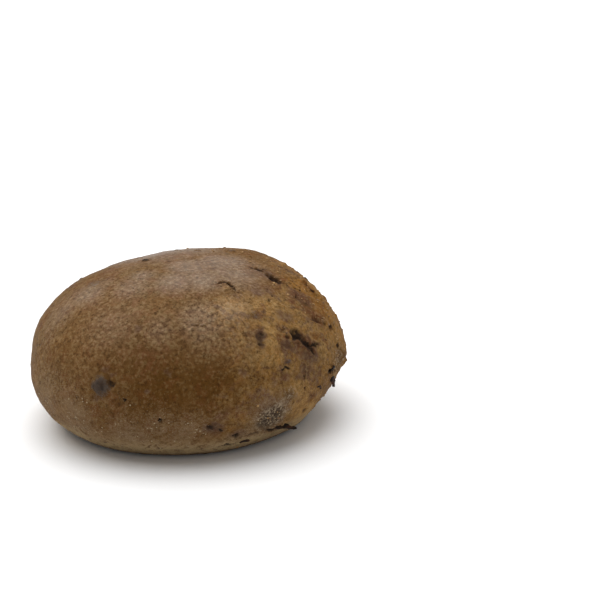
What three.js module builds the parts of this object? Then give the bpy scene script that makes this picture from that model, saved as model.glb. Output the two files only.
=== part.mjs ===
// A round-oval hearth loaf of onion bread, baked free-standing on a flat oven floor.
// One piece: a domed crust over a flat base. Millimetres, +Z up, +X along the longer
// way of the loaf, and the origin at the middle of the base, on the surface it rests on.
import * as THREE from "three";

// Driving dimensions.
const LENGTH = 204; // over the widest bulge, along X
const WIDTH = 188; // over the widest bulge, along Y
const HEIGHT = 102; // of the dome's top
const BULGE_HEIGHT = 38; // where the side stands out furthest
const BASE_SHARE = 0.72; // how much of the plan is flat against the oven floor
const LEAN = 0.05; // sideways shift along X for each millimetre of height

// How full each stretch of the side profile is. 2 is an ellipse and more is squarer.
const DOME_SHOULDER = 2.35;
const DOME_CROWN = 2.2;
const UNDERSIDE = 1.5;

// Rings of the profile, and segments around it.
const BASE_RINGS = 4;
const UNDERSIDE_RINGS = 8;
const DOME_RINGS = 20;
const SEGMENTS = 72;

// Soft swellings and hollows of the dough, as seen from the middle of the bulge:
// azimuth from +X and lift above the bulge in degrees, how far each one spreads in
// degrees, and how far it stands out in millimetres.
const LUMPS = [
  { azimuth: 20, lift: 43, spread: 14, height: 2.5 },
  { azimuth: -13, lift: 20, spread: 10, height: -1.1 },
  { azimuth: -29, lift: 0, spread: 9, height: 2.5 },
  { azimuth: 97, lift: 50, spread: 13, height: -1.8 },
  { azimuth: 128, lift: 40, spread: 9, height: -2.6 },
  { azimuth: 163, lift: 0, spread: 14, height: -3.1 },
  { azimuth: 48, lift: 6, spread: 15, height: -1.4 },
  { azimuth: 78, lift: 22, spread: 16, height: 1.2 },
  { azimuth: 112, lift: 6, spread: 16, height: -1.0 },
];

// Lumps and lean fade out towards the base, so that it stays flat.
const FADE_HEIGHT = 18;

// The side profile from the base's middle to the top, as radius share and height.
function sideProfile() {
  const points = [];
  for (let i = 0; i < BASE_RINGS; i++) {
    points.push(new THREE.Vector2((BASE_SHARE * i) / BASE_RINGS, 0));
  }
  for (let i = 0; i < UNDERSIDE_RINGS; i++) {
    const turn = ((Math.PI / 2) * i) / UNDERSIDE_RINGS;
    const out = Math.sin(turn) ** (2 / UNDERSIDE);
    const up = 1 - Math.cos(turn) ** (2 / UNDERSIDE);
    points.push(
      new THREE.Vector2(BASE_SHARE + (1 - BASE_SHARE) * out, BULGE_HEIGHT * up),
    );
  }
  for (let i = 0; i < DOME_RINGS; i++) {
    const turn = ((Math.PI / 2) * i) / DOME_RINGS;
    const out = Math.cos(turn) ** (2 / DOME_SHOULDER);
    const up = Math.sin(turn) ** (2 / DOME_CROWN);
    points.push(
      new THREE.Vector2(out, BULGE_HEIGHT + (HEIGHT - BULGE_HEIGHT) * up),
    );
  }
  points.push(new THREE.Vector2(0, HEIGHT));
  return points;
}

// The unit direction of an azimuth and a lift, both in degrees.
function direction(azimuth, lift) {
  const a = THREE.MathUtils.degToRad(azimuth);
  const e = THREE.MathUtils.degToRad(lift);
  return new THREE.Vector3(
    Math.cos(a) * Math.cos(e),
    Math.sin(a) * Math.cos(e),
    Math.sin(e),
  );
}

// How far the lumps move the surface outwards along a unit ray from the core.
function lumpHeight(ray) {
  let height = 0;
  for (const lump of LUMPS) {
    const angle = THREE.MathUtils.radToDeg(
      ray.angleTo(direction(lump.azimuth, lump.lift)),
    );
    height += lump.height * Math.exp(-((angle / lump.spread) ** 2));
  }
  return height;
}

// The loaf's geometry: the profile turned about Z, drawn out to an oval, leaned and lumped.
function loafGeometry() {
  const geometry = new THREE.LatheGeometry(sideProfile(), SEGMENTS);
  geometry.rotateX(Math.PI / 2);
  const position = geometry.getAttribute("position");
  const core = new THREE.Vector3(0, 0, BULGE_HEIGHT);
  const point = new THREE.Vector3();
  const ray = new THREE.Vector3();
  for (let i = 0; i < position.count; i++) {
    point.fromBufferAttribute(position, i);
    point.x *= LENGTH / 2;
    point.y *= WIDTH / 2;
    const fade = THREE.MathUtils.smoothstep(point.z, 0, FADE_HEIGHT);
    ray.subVectors(point, core).normalize();
    point.addScaledVector(ray, lumpHeight(ray) * fade);
    point.x += LEAN * (point.z - BULGE_HEIGHT) * fade;
    position.setXYZ(i, point.x, point.y, point.z);
  }
  geometry.deleteAttribute("uv");
  geometry.computeVertexNormals();
  return geometry;
}

// Moves a geometry so that its box is centred on the origin in X and Y and stands on Z = 0.
function standOnOrigin(geometry) {
  geometry.computeBoundingBox();
  const box = geometry.boundingBox;
  geometry.translate(
    -(box.min.x + box.max.x) / 2,
    -(box.min.y + box.max.y) / 2,
    -box.min.z,
  );
  return geometry;
}

const crust = new THREE.MeshStandardMaterial({
  color: 0x7a5a3a,
  roughness: 0.62,
  metalness: 0,
});

const loaf = new THREE.Mesh(standOnOrigin(loafGeometry()), crust);
loaf.name = "loaf";

const onionBread = new THREE.Group();
onionBread.add(loaf);

export default onionBread;
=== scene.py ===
"""A round-oval hearth loaf of onion rye bread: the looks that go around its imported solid.

The crust is one dense skin cast onto the loaf's solid, then swollen, roughened and marked
with what the oven left: burst blisters, cracks, scorched onion and floury patches. Onion
shreds, flakes, crumbs and flour are pieces of their own, lying in or on that skin.
"""

import logging
import math
from collections.abc import Callable
from dataclasses import dataclass, field, fields
from enum import Enum

import bmesh
import bpy
import numpy as np
from bpy.types import Material, Mesh, Node, NodeSocket, NodeTree, Object
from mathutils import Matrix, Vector, noise
from mathutils.bvhtree import BVHTree


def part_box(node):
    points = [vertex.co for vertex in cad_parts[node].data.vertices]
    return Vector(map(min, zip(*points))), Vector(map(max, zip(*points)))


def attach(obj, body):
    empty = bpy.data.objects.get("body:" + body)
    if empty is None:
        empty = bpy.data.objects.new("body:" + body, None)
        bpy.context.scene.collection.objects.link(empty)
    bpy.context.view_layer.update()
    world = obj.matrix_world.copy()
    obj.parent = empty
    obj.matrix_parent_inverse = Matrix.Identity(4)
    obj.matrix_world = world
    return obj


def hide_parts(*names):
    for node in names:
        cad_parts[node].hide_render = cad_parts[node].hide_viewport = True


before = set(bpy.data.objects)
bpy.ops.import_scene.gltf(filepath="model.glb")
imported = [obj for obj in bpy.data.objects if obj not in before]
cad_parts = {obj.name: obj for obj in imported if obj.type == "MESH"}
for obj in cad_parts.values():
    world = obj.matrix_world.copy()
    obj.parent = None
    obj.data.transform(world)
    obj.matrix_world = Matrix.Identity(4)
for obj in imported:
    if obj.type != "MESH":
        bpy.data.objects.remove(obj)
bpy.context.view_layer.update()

MM = 0.001
BODY = "root"
NODE = "loaf"
NOISE_SEED = 1  # the vector noise differs from run to run without one
SHARP_MM = 0.4  # a mark that rises or sinks this far needs a finer mesh
SEED_SHIFT = 17.31  # how far one seed's noise lies from the next, in lumps
LOG = logging.getLogger("onion_bread")

Colour = tuple[float, float, float]
Inputs = dict[object, object]


# Small helpers.


def direction(azimuth: float, lift: float) -> np.ndarray:
    """Unit vector of an azimuth from +X and a lift above the level, both in degrees."""
    a, e = math.radians(azimuth), math.radians(lift)
    return np.array([math.cos(a) * math.cos(e), math.sin(a) * math.cos(e), math.sin(e)])


def smooth(low: float, high: float, value: np.ndarray) -> np.ndarray:
    """Rises from 0 at low to 1 at high with level ends."""
    t = np.clip((value - low) / (high - low), 0.0, 1.0)
    return t * t * (3.0 - 2.0 * t)


def bell(value: np.ndarray, middle: float, spread: float) -> np.ndarray:
    """1 at the middle, fading to 0 on both sides."""
    return np.exp(-(((value - middle) / spread) ** 2))


def unit(vectors: np.ndarray) -> np.ndarray:
    """The same vectors, each of length one."""
    return vectors / np.linalg.norm(vectors, axis=-1, keepdims=True)


def fractal(points: np.ndarray, size_mm: float, octaves: int, seed: float) -> np.ndarray:
    """Fractal noise, about -1 to 1, with lumps of a given size.

    Args:
        points: places in metres, one row each.
        size_mm: how far apart the largest lumps are.
        octaves: how many finer layers are added.
        seed: moves the pattern, so that two layers differ.

    Returns:
        One number for each point.
    """
    scaled = points / (size_mm * MM) + seed * SEED_SHIFT
    return np.array([noise.fractal(Vector(p), 1.0, 2.0, octaves) for p in scaled])


def tangents(normal: np.ndarray, turn: float) -> tuple[np.ndarray, np.ndarray]:
    """Two directions along a surface.

    Args:
        normal: the surface's outward normal.
        turn: degrees from the level direction to the first one, anticlockwise from outside.

    Returns:
        The direction along a mark and the direction across it.
    """
    level = unit(np.cross([0.0, 0.0, 1.0], normal))
    upward = np.cross(normal, level)
    c, s = math.cos(math.radians(turn)), math.sin(math.radians(turn))
    return c * level + s * upward, c * upward - s * level


def places(vertices: object) -> np.ndarray:
    """The places of a mesh's vertices, one row each."""
    return np.array([v.co[:] for v in vertices])


def output(node: Node, identifier: str) -> NodeSocket:
    """A node's output by its identifier, which is never shared as a name may be."""
    return next(s for s in node.outputs if s.identifier == identifier)


def new_object(name: str, mesh: Mesh) -> Object:
    """Links a new object with a mesh into the scene and returns it.

    Args:
        name: the object's name.
        mesh: its mesh.

    Returns:
        The object.
    """
    piece = bpy.data.objects.new(name, mesh)
    bpy.context.scene.collection.objects.link(piece)
    return piece


def new_mesh(name: str, bm: bmesh.types.BMesh) -> Mesh:
    """Turns a bmesh into a new mesh and frees it.

    Args:
        name: the mesh's name.
        bm: the bmesh, which can't be used again.

    Returns:
        The mesh.
    """
    mesh = bpy.data.meshes.new(name)
    bm.to_mesh(mesh)
    bm.free()
    return mesh


def shade_smooth(mesh: Mesh) -> None:
    """Gives every face of a mesh smooth shading."""
    mesh.polygons.foreach_set("use_smooth", [True] * len(mesh.polygons))
    mesh.update()


# Node trees and materials.


def operator(operation: str, turned: bool = False) -> Callable[["Shade", object], "Shade"]:
    """Makes one of Shade's operators.

    Args:
        operation: what the Math node does.
        turned: whether the other value comes first.

    Returns:
        The method.
    """

    def method(self: "Shade", other: object) -> "Shade":
        """Adds the Math node and returns its result.

        Args:
            other: a number or another Shade.

        Returns:
            The result.
        """
        first, second = (other, self) if turned else (self, other)
        made = self.nodes.node("ShaderNodeMath", {0: first, 1: second}, operation=operation)
        return Shade(self.nodes, made.outputs[0])

    return method


class Shade:
    """One number socket of a node tree. Python's operators on it add Math nodes."""

    def __init__(self, nodes: "Nodes", socket: NodeSocket) -> None:
        """Wraps a socket."""
        self.nodes = nodes
        self.socket = socket

    __add__, __radd__ = operator("ADD"), operator("ADD", True)
    __sub__, __rsub__ = operator("SUBTRACT"), operator("SUBTRACT", True)
    __mul__, __rmul__ = operator("MULTIPLY"), operator("MULTIPLY", True)
    most = operator("MAXIMUM")


class Nodes:
    """A node tree whose nodes are added by calls."""

    def __init__(self, tree: NodeTree) -> None:
        """Wraps a node tree."""
        self.tree = tree

    def node(self, kind: str, inputs: Inputs | None = None, **settings: object) -> Node:
        """Adds any node.

        Args:
            kind: the node's type.
            inputs: a value, socket or Shade for each input, by its identifier, name or number.
            settings: properties of the node, which are set first.

        Returns:
            The node.
        """
        made = self.tree.nodes.new(kind)
        for name, value in settings.items():
            setattr(made, name, value)
        for name, value in (inputs or {}).items():
            self.feed(made, name, value)
        return made

    def feed(self, node: Node, name: object, value: object) -> None:
        """Links or sets one input of a node.

        Args:
            node: the node.
            name: the input's identifier, name or number.
            value: a plain value, a socket or a Shade.
        """
        by_identifier = {s.identifier: s for s in node.inputs}
        socket = by_identifier.get(name) or node.inputs[name]
        if isinstance(value, Shade):
            value = value.socket
        if isinstance(value, NodeSocket):
            self.tree.links.new(value, socket)
        elif isinstance(value, tuple) and len(value) == 3 and socket.type == "RGBA":
            socket.default_value = (*value, 1.0)
        else:
            socket.default_value = value

    def vector(self, operation: str, inputs: Inputs) -> NodeSocket:
        """The result of a Vector Math node."""
        return self.node("ShaderNodeVectorMath", inputs, operation=operation).outputs[0]

    def ramp(self, value: object, low: float, high: float, start: float = 0.0, end: float = 1.0) -> Shade:
        """Goes from start at low to end at high with level ends.

        Args:
            value: the number that is read.
            low: where the start is; it may be the larger of the two.
            high: where the end is.
            start: the result at low and beyond.
            end: the result at high and beyond.

        Returns:
            The result.
        """
        if low > high:
            low, high, start, end = high, low, end, start
        span = {"From Min": low, "From Max": high, "To Min": start, "To Max": end}
        made = self.node("ShaderNodeMapRange", {"Value": value, **span}, interpolation_type="SMOOTHSTEP")
        return Shade(self, made.outputs[0])

    def wobble(self, reach_mm: float, size_mm: float, **inputs: object) -> NodeSocket:
        """A vector that swings about zero.

        Args:
            reach_mm: how far it may reach.
            size_mm: how far apart the noise's lumps are.
            inputs: other inputs of the Noise node.

        Returns:
            The vector.
        """
        wave = self.node("ShaderNodeTexNoise", {"Scale": 1.0 / (size_mm * MM), **inputs})
        centred = self.vector("SUBTRACT", {0: wave.outputs["Color"], 1: (0.5, 0.5, 0.5)})
        return self.vector("SCALE", {0: centred, "Scale": 2.0 * reach_mm * MM})


class Paint(Nodes):
    """A new material whose colour is built up in layers."""

    def __init__(self, name: str, colour: object = None) -> None:
        """Starts a material with its shader, its output and its first colour.

        Args:
            name: the material's name.
            colour: what the first layer is laid on, or nothing.
        """
        self.material = bpy.data.materials.new(name)
        self.material.use_nodes = True
        super().__init__(self.material.node_tree)
        self.tree.nodes.clear()
        self.shader = self.node("ShaderNodeBsdfPrincipled")
        self.node("ShaderNodeOutputMaterial", {"Surface": self.shader.outputs["BSDF"]})
        self.place = self.node("ShaderNodeTexCoord").outputs["Object"]
        self.colour = colour

    def stain(self, name: str) -> Shade:
        """The number that a mesh attribute holds."""
        return Shade(self, self.node("ShaderNodeAttribute", attribute_name=name).outputs["Fac"])

    def cloud(self, size_mm: float, detail: float = 3.0, rough: float = 0.5, warp: float = 0.0) -> Shade:
        """Noise of about -0.2 to 0.2.

        Args:
            size_mm: how far apart its lumps are.
            detail: how many finer layers are added.
            rough: how strong the finer layers are.
            warp: how far its lumps are pulled out of shape.

        Returns:
            The noise.
        """
        inputs = {"Scale": 1.0 / (size_mm * MM), "Detail": detail, "Roughness": rough, "Distortion": warp}
        made = self.node("ShaderNodeTexNoise", {"Vector": self.place, **inputs})
        return Shade(self, made.outputs["Fac"]) - 0.5

    def shaken(self, reach_mm: float, size_mm: float) -> NodeSocket:
        """The place on the loaf, shaken by noise of a given size."""
        swing = self.wobble(reach_mm, size_mm, Vector=self.place, Detail=1.0)
        return self.vector("ADD", {0: self.place, 1: swing})

    def grains(self, size_mm: float, place: NodeSocket, feature: str = "F1") -> Shade:
        """Distance to the nearest of many scattered grains, in grain sizes."""
        inputs = {"Vector": place, "Scale": 1.0 / (size_mm * MM)}
        return Shade(self, self.node("ShaderNodeTexVoronoi", inputs, feature=feature).outputs["Distance"])

    def blend(self, share: object, first: object, second: object) -> NodeSocket:
        """A colour between two, by a share from 0 to 1."""
        inputs = {"Factor_Float": share, "A_Color": first, "B_Color": second}
        return output(self.node("ShaderNodeMix", inputs, data_type="RGBA", clamp_factor=True), "Result_Color")

    def lay(self, share: object, colour: object) -> None:
        """Lays a colour over the layers so far, by a share from 0 to 1."""
        self.colour = self.blend(share, self.colour, colour)

    def relief(self, height: Shade, depth_mm: float) -> NodeSocket:
        """A bumped normal whose height of 0 to 1 stands for a depth in millimetres."""
        inputs = {"Strength": 1.0, "Distance": depth_mm * MM, "Height": height}
        return self.node("ShaderNodeBump", inputs).outputs["Normal"]

    def finished(self, roughness: object, looks: dict[str, object]) -> Material:
        """Feeds the shader.

        Args:
            roughness: the shader's roughness.
            looks: its other inputs by name, but for the colour.

        Returns:
            The material.
        """
        for name, value in {"Base Color": self.colour, "Roughness": roughness, **looks}.items():
            self.feed(self.shader, name, value)
        return self.material


@dataclass(frozen=True)
class CrustFinish:
    """Baked rye crust: mottled brown, satin where it was brushed with water, floury low down."""

    tan: Colour = (0.135, 0.064, 0.018)
    olive: Colour = (0.135, 0.073, 0.025)
    umber: Colour = (0.085, 0.036, 0.006)
    gold: Colour = (0.34, 0.197, 0.067)
    amber: Colour = (0.225, 0.103, 0.02)
    plum: Colour = (0.086, 0.045, 0.029)
    bloom_and_highlight: Colour = (0.2, 0.115, 0.052)
    rust: Colour = (0.105, 0.034, 0.009)
    ash: Colour = (0.045, 0.04, 0.039)
    char: Colour = (0.018, 0.012, 0.009)
    crease: Colour = (0.05, 0.019, 0.006)
    flour: Colour = (0.3, 0.23, 0.15)
    crest_highlight: Colour = (0.23, 0.15, 0.068)
    hem: Colour = (0.37, 0.265, 0.14)
    scab: Colour = (0.03, 0.019, 0.013)
    sole: Colour = (0.1, 0.05, 0.022)
    roughness: float = 0.62
    gloss: float = 0.035
    varnish_ior: float = 1.38
    varnish_roughness: float = 0.47
    pebble_mm: float = 2.3  # how far apart the skin's small bumps are
    relief_mm: float = 0.7  # and how high they stand

    def material(self) -> Material:
        """Builds the crust's material.

        Returns:
            The crust's material.
        """
        p = Paint("rye_crust")
        deep_bake_and_shade, gold, plum, rust, flour, torn, wrinkle, sheen, scab, char, ash = map(p.stain, STAINS)
        hem, sole = p.stain("hem"), p.stain("sole")

        # Noise from coarse to fine. Ragged roughens the edge of a stain.
        drift = p.cloud(24, 4, 0.6, 0.6)
        quilt = p.cloud(13, 4, 0.6, 0.8)
        blotch = p.cloud(9, 4, 0.6, 0.4)
        ember = p.cloud(5.5, 4, 0.6, 1.0)
        mottle = p.cloud(4, 4, 0.65, 1.2)
        grain = p.cloud(1.6, 4, 0.65, 0.9)
        fine = p.cloud(0.6, 2, 0.6)
        pebble = 1.0 - p.grains(self.pebble_mm, p.shaken(0.9, 2.5), "SMOOTH_F1")
        ragged = 1.1 * mottle + grain

        # The baked ground: tan to olive, darker umber where the bake is deep and as painted shade on the
        # loaf's front, golden at the soft end.
        p.colour = p.blend(p.ramp(drift + 0.5 * mottle, -0.12, 0.12), self.tan, self.olive)
        p.lay(deep_bake_and_shade * p.ramp(blotch + 0.6 * deep_bake_and_shade, -0.05, 0.3), self.umber)
        golden = p.ramp(gold + 0.9 * blotch + 0.4 * ragged, 0.2, 0.85)
        p.lay(golden * 0.85, self.gold)
        on_gold = p.ramp(gold, 0.15, 0.5)
        p.lay(p.ramp(quilt + 0.3 * mottle, 0.0, 0.12) * on_gold * 0.75, self.plum)
        p.lay(p.ramp(ember + 0.3 * grain, 0.0, 0.12) * on_gold * 0.5, self.amber)
        p.lay(p.ramp(torn + ragged, 0.35, 0.8) * 0.7, self.amber)

        # Bruises, and a pale bloom on the wrinkled skin, which is also a painted highlight.
        p.lay(p.ramp(blotch + 0.3 * mottle, 0.0, 0.14) * 0.42, self.rust)
        p.lay(p.ramp(plum + 1.5 * ragged, 0.1, 1.0) * 0.85, self.plum)
        p.lay(p.ramp(rust + 0.5 * blotch + ragged, 0.2, 0.9) * 0.58, self.rust)
        p.lay(p.ramp(ash + ragged, 0.25, 0.8) * 0.9, self.ash)
        p.lay(wrinkle * 0.6, self.bloom_and_highlight)

        # The skin's small bumps: a painted highlight on their crests, painted shade in their creases, and
        # dark specks.
        bumps = pebble + 0.9 * grain
        crest, crease = p.ramp(bumps, 0.55, 0.85), p.ramp(bumps, 0.55, 0.3)
        p.lay(crest * (0.2 + 0.4 * wrinkle + 0.25 * gold) * (1.0 - 0.8 * ash), self.crest_highlight)
        p.lay(crease * 0.27, self.umber)
        p.lay(crease * wrinkle * 0.45, self.crease)
        p.lay(p.ramp(grain + 0.5 * mottle, -0.06, -0.24) * (0.5 - 0.42 * golden), self.crease)
        coarse = 1.4 - 0.6 * deep_bake_and_shade + 0.1 * wrinkle
        light = 1.0 + coarse * (mottle + grain) + 0.9 * gold * fine
        p.colour = p.vector("SCALE", {0: p.colour, "Scale": light})

        # Flour: specks, a film, the powdery hem round the foot, which is also painted paler as light bounced
        # up from the table, and the crumbly scabs.
        specks = p.grains(1.5, p.place) - 0.25 * fine
        p.lay(p.ramp(specks, 0.245, 0.145) * p.ramp(drift + flour, 0.0, 0.8) * 0.5, self.flour)
        p.lay(p.ramp(flour + mottle + 1.6 * fine, 0.25, 1.1) * 0.38, self.flour)
        powder = p.ramp(mottle + 0.5 * grain, -0.25, 0.1) * (1.0 - 0.7 * rust.most(plum))
        p.lay(hem * powder * 0.85, self.hem)
        crumbly = p.blend(p.ramp(mottle + 0.9 * grain, -0.06, 0.16), self.scab, self.flour)
        p.lay(p.ramp(scab + 0.8 * ragged, 0.25, 0.8) * 0.8, crumbly)
        p.lay(sole * (0.7 + 0.3 * p.ramp(mottle, -0.2, 0.1)), self.sole)
        # Near black where the crust scorched, and painted shade inside the narrow cracks.
        burnt_and_crack_shade = p.ramp(char + 0.9 * grain + 0.7 * mottle, 0.3, 0.85)
        p.lay(burnt_and_crack_shade * 0.9, self.char)

        worn = p.ramp(sheen + 0.55 * mottle + 0.5 * grain, 0.12, 0.95)
        varnish = worn * (0.85 + 0.35 * crest) * (1.0 - 0.8 * burnt_and_crack_shade) * (1.0 - 0.6 * ash)
        height = pebble * (0.5 + 0.7 * wrinkle) + 0.4 * grain + 0.15 * fine
        looks = {
            "Coat Weight": varnish,
            "Coat Roughness": self.varnish_roughness,
            "Coat IOR": self.varnish_ior,
            "Normal": p.relief(height, self.relief_mm),
            "Specular IOR Level": self.gloss,
        }
        return p.finished(self.roughness + 0.5 * mottle + 0.15 * torn, looks)


@dataclass(frozen=True)
class OnionFinish:
    """Onion that stood out of the crust and scorched: near black, with red-brown where thin."""

    black: Colour = (0.014, 0.009, 0.007)
    brown: Colour = (0.055, 0.022, 0.011)
    grey: Colour = (0.035, 0.023, 0.016)
    roughness: float = 0.5
    gloss: float = 0.05

    def material(self) -> Material:
        """Builds the scorched onion's material.

        Returns:
            The onion's material.
        """
        p = Paint("scorched_onion", self.black)
        patch, grain = p.cloud(3.0, 3, 0.6), p.cloud(0.7, 3, 0.6)
        p.lay(p.ramp(patch, -0.08, 0.1), self.brown)
        p.lay(p.ramp(grain, 0.0, 0.18) * 0.6, self.grey)
        looks = {"Normal": p.relief(0.6 * patch + 0.4 * grain, 0.3), "Specular IOR Level": self.gloss}
        return p.finished(self.roughness + 0.4 * grain, looks)


@dataclass(frozen=True)
class FlourFinish:
    """Rye flour and bran left on the crust: off-white to straw."""

    white: Colour = (0.33, 0.245, 0.14)
    straw: Colour = (0.22, 0.145, 0.07)
    roughness: float = 0.85

    def material(self) -> Material:
        """Builds the flour's material.

        Returns:
            The flour's material.
        """
        p = Paint("rye_flour", self.white)
        patch = p.cloud(4.0, 2)
        p.lay(p.ramp(patch, -0.1, 0.12), self.straw)
        return p.finished(self.roughness + 0.1 * patch, {})


@dataclass(frozen=True)
class CrumbFinish:
    """Torn bits of crust on the loaf's soft side: golden to brown."""

    gold: Colour = (0.34, 0.19, 0.06)
    brown: Colour = (0.13, 0.06, 0.022)
    roughness: float = 0.7

    def material(self) -> Material:
        """Builds the crumbs' material.

        Returns:
            The crumbs' material.
        """
        p = Paint("crust_crumb", self.gold)
        patch, grain = p.cloud(5.0), p.cloud(0.8)
        p.lay(p.ramp(patch + 0.5 * grain, -0.1, 0.12), self.brown)
        return p.finished(self.roughness + 0.3 * grain, {"Normal": p.relief(grain, 0.3)})


@dataclass(frozen=True)
class TableFinish:
    """A plain white table."""

    white: Colour = (0.88, 0.88, 0.88)
    roughness: float = 0.9

    def material(self) -> Material:
        """Builds the table's material."""
        return Paint("white_table", self.white).finished(self.roughness, {"Specular IOR Level": 0.0})


# What the oven left on the crust.


class Section(Enum):
    """How the surface goes across a mark."""

    FLAT = "flat"  # only a colour, or a soft swelling
    BOWL = "bowl"  # a pit or a burst blister
    CRACK = "crack"  # a narrow split with raised lips
    KNOB = "knob"  # a bit that stands out, with a groove around it

    def profile(self, away: np.ndarray) -> np.ndarray:
        """The surface across a mark, as a share of the mark's rise.

        Args:
            away: how far out each point lies, in half widths.

        Returns:
            1 at the middle, and a little below 0 in a lip or a groove round the edge.
        """
        if self is Section.BOWL:
            return smooth(1.05, 0.35, away) - 0.16 * bell(away, 1.3, 0.22)
        if self is Section.CRACK:
            return smooth(1.0, 0.1, away) - 0.3 * bell(away, 1.45, 0.3)
        if self is Section.KNOB:
            return np.clip(1.0 - away * away, 0.0, 1.0) ** 0.8 - 0.25 * bell(away, 1.15, 0.2)
        return smooth(1.2, 0.0, away)


FLAT, BOWL, CRACK, KNOB = Section


@dataclass(frozen=True, kw_only=True)
class Stains:
    """What stains the crust, each with a strength of 0 to 1. The deep tone also paints shade on the loaf's
    front, and the char paints shade inside its narrow cracks.
    """

    deep_bake_and_shade: float = 0.0
    gold: float = 0.0
    plum: float = 0.0
    rust: float = 0.0
    flour: float = 0.0
    torn: float = 0.0
    wrinkle: float = 0.0
    sheen: float = 0.0
    scab: float = 0.0
    char: float = 0.0
    ash: float = 0.0

    def strengths(self) -> dict[str, float]:
        """The strengths above 0, by name."""
        return {name: getattr(self, name) for name in STAINS if getattr(self, name)}


STAINS = tuple(stain.name for stain in fields(Stains))


@dataclass(frozen=True)
class Mark(Stains):
    """One baked-in mark.

    Its place is in degrees as seen from the loaf's core, its sizes are in millimetres, and
    its rise is above the crust, or below it if negative.
    """

    azimuth: float
    lift: float
    length: float
    width: float
    turn: float = 0.0
    bend: float = 0.0
    rise: float = 0.0
    section: Section = FLAT

    def is_sharp(self) -> bool:
        """Whether the mark needs a finer mesh than the rest of the crust."""
        return self.section is not FLAT and abs(self.rise) >= SHARP_MM


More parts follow.
